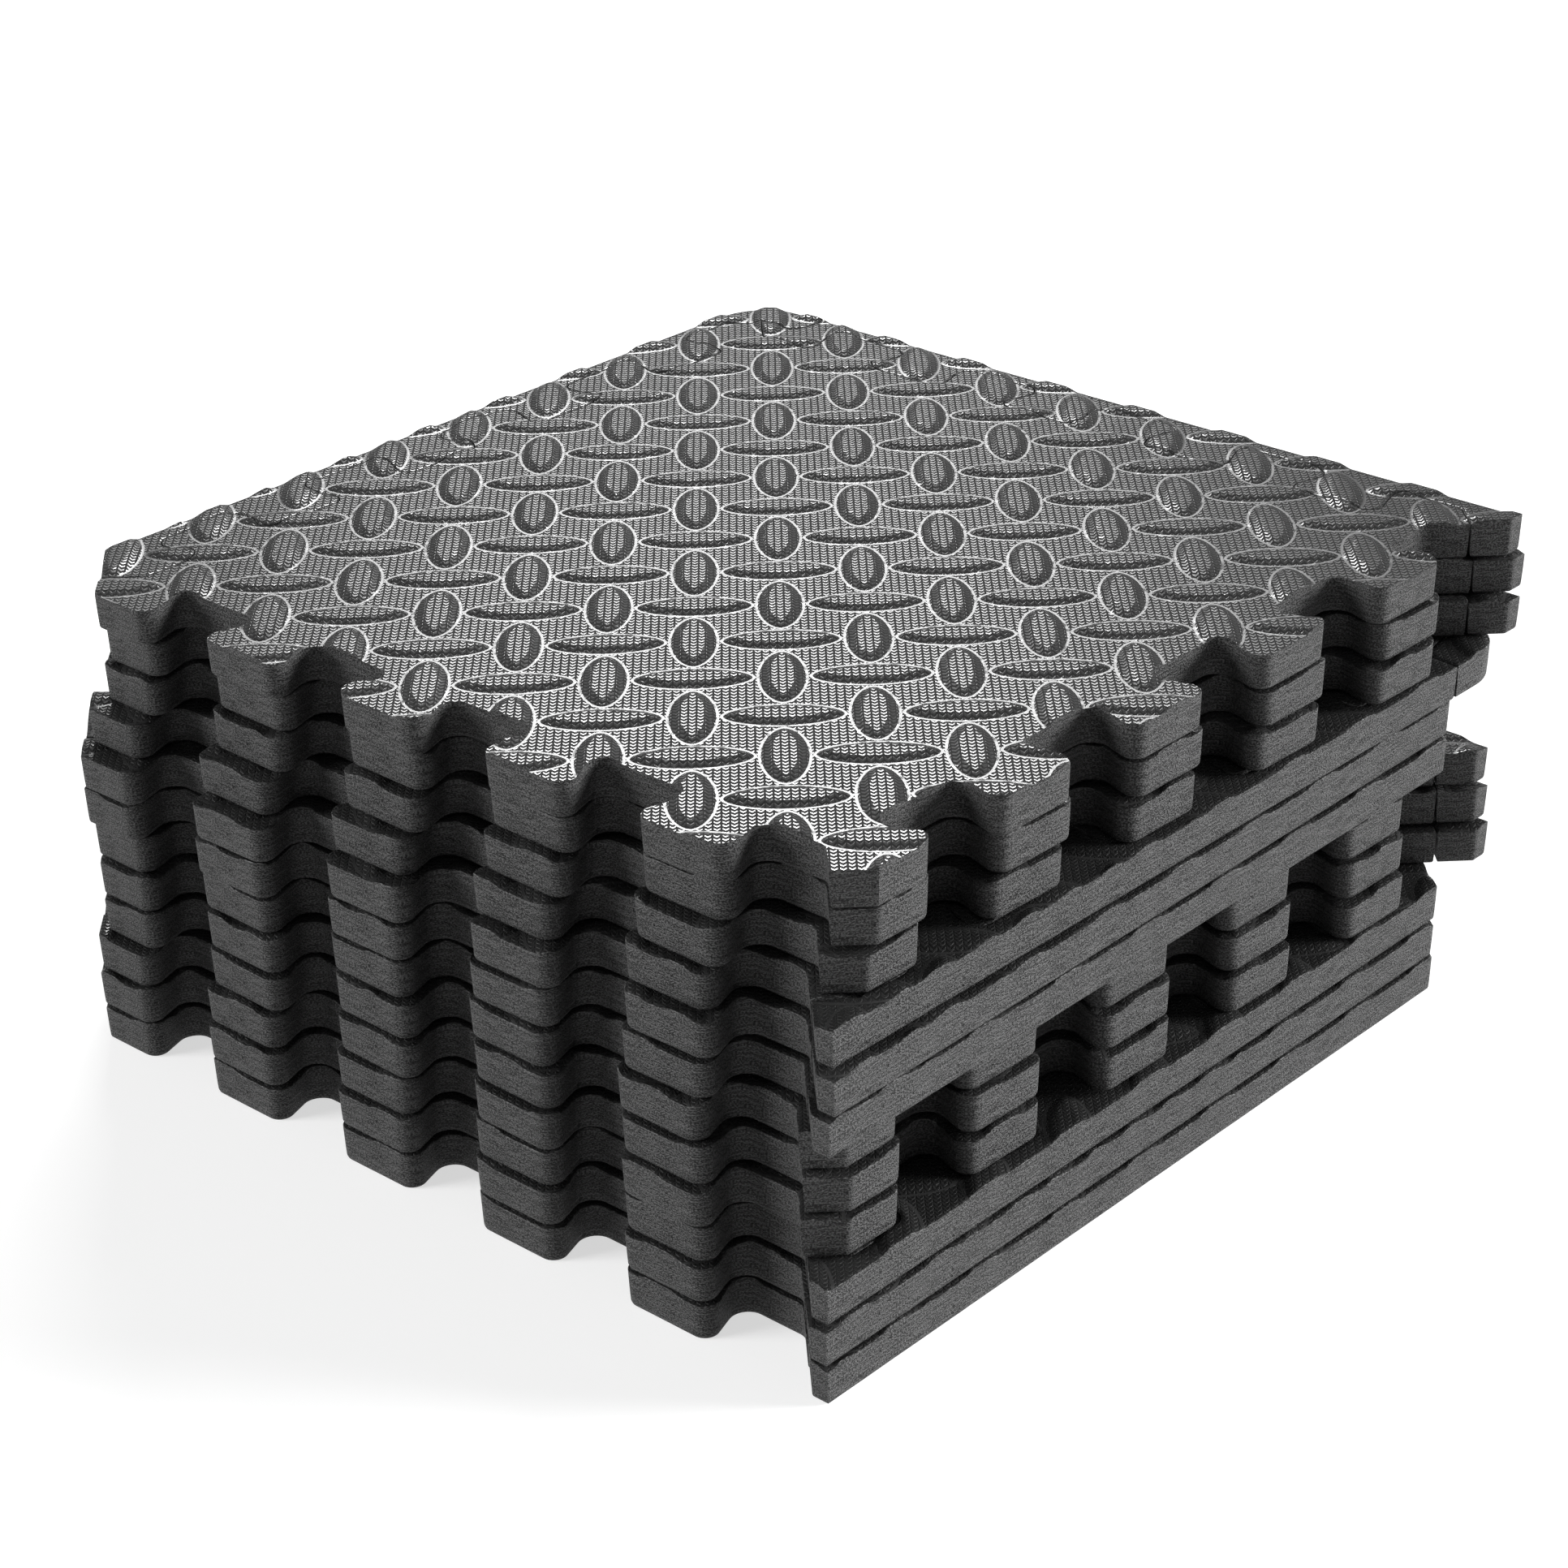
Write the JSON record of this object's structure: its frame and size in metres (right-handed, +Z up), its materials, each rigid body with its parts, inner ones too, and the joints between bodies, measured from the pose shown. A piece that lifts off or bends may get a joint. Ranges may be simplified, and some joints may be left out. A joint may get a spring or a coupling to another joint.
{
  "type": "blocking mat stack",
  "caption": "Stack of square interlocking foam blocking mats with dovetail-toothed edges, some finished with clip-in straight border strips, for pinning knitting out flat.",
  "frame": {"origin": "on the floor under the middle of the stack's outline", "axes": "+X to the stack's right, +Y to its back, +Z up"},
  "size_m": [0.3492, 0.3434, 0.1557],
  "materials": {
    "mat_foam": "matte closed-cell foam with a moulded lens and knurl pattern on top",
    "border_foam": "matte closed-cell foam, cut sides with a fine grain"
  },
  "bodies": {
    "layer_01": {"mat_01": "mat_foam", "border_01_front": "border_foam", "border_01_back": "border_foam"},
    "layer_02": {"mat_02": "mat_foam", "border_02_front": "border_foam", "border_02_back": "border_foam"},
    "layer_03": {"mat_03": "mat_foam", "border_03_front": "border_foam", "border_03_back": "border_foam"},
    "layer_04": {"mat_04": "mat_foam", "border_04_right": "border_foam", "border_04_back": "border_foam"},
    "layer_05": {"mat_05": "mat_foam", "border_05_right": "border_foam", "border_05_back": "border_foam"},
    "layer_06": {"mat_06": "mat_foam", "border_06_right": "border_foam", "border_06_back": "border_foam"},
    "layer_07": {"mat_07": "mat_foam", "border_07_front": "border_foam", "border_07_back": "border_foam"},
    "layer_08": {"mat_08": "mat_foam", "border_08_front": "border_foam", "border_08_back": "border_foam"},
    "layer_09": {"mat_09": "mat_foam", "border_09_front": "border_foam", "border_09_right": "border_foam"},
    "layer_10": {"mat_10": "mat_foam", "border_10_right": "border_foam", "border_10_back": "border_foam"},
    "layer_11": {"mat_11": "mat_foam", "border_11_right": "border_foam", "border_11_back": "border_foam"},
    "layer_12": {"mat_12": "mat_foam"},
    "top_right_border": {"border_12_right": "border_foam"},
    "top_back_border": {"border_12_back": "border_foam"}
  },
  "joints": [
    {"name": "lift_mat_02", "type": "slide", "parent": "layer_01", "child": "layer_02", "axis": [0, 0, 1], "range_m": [0, 0.03]},
    {"name": "lift_mat_03", "type": "slide", "parent": "layer_02", "child": "layer_03", "axis": [0, 0, 1], "range_m": [0, 0.03]},
    {"name": "lift_mat_04", "type": "slide", "parent": "layer_03", "child": "layer_04", "axis": [0, 0, 1], "range_m": [0, 0.03]},
    {"name": "lift_mat_05", "type": "slide", "parent": "layer_04", "child": "layer_05", "axis": [0, 0, 1], "range_m": [0, 0.03]},
    {"name": "lift_mat_06", "type": "slide", "parent": "layer_05", "child": "layer_06", "axis": [0, 0, 1], "range_m": [0, 0.03]},
    {"name": "lift_mat_07", "type": "slide", "parent": "layer_06", "child": "layer_07", "axis": [0, 0, 1], "range_m": [0, 0.03]},
    {"name": "lift_mat_08", "type": "slide", "parent": "layer_07", "child": "layer_08", "axis": [0, 0, 1], "range_m": [0, 0.03]},
    {"name": "lift_mat_09", "type": "slide", "parent": "layer_08", "child": "layer_09", "axis": [0, 0, 1], "range_m": [0, 0.03]},
    {"name": "lift_mat_10", "type": "slide", "parent": "layer_09", "child": "layer_10", "axis": [0, 0, 1], "range_m": [0, 0.03]},
    {"name": "lift_mat_11", "type": "slide", "parent": "layer_10", "child": "layer_11", "axis": [0, 0, 1], "range_m": [0, 0.03]},
    {"name": "lift_mat_12", "type": "slide", "parent": "layer_11", "child": "layer_12", "axis": [0, 0, 1], "range_m": [0, 0.03]},
    {"name": "lift_top_right_border", "type": "slide", "parent": "layer_12", "child": "top_right_border", "axis": [0, 0, 1], "range_m": [0, 0.02]},
    {"name": "lift_top_back_border", "type": "slide", "parent": "layer_12", "child": "top_back_border", "axis": [0, 0, 1], "range_m": [0, 0.02]}
  ]
}
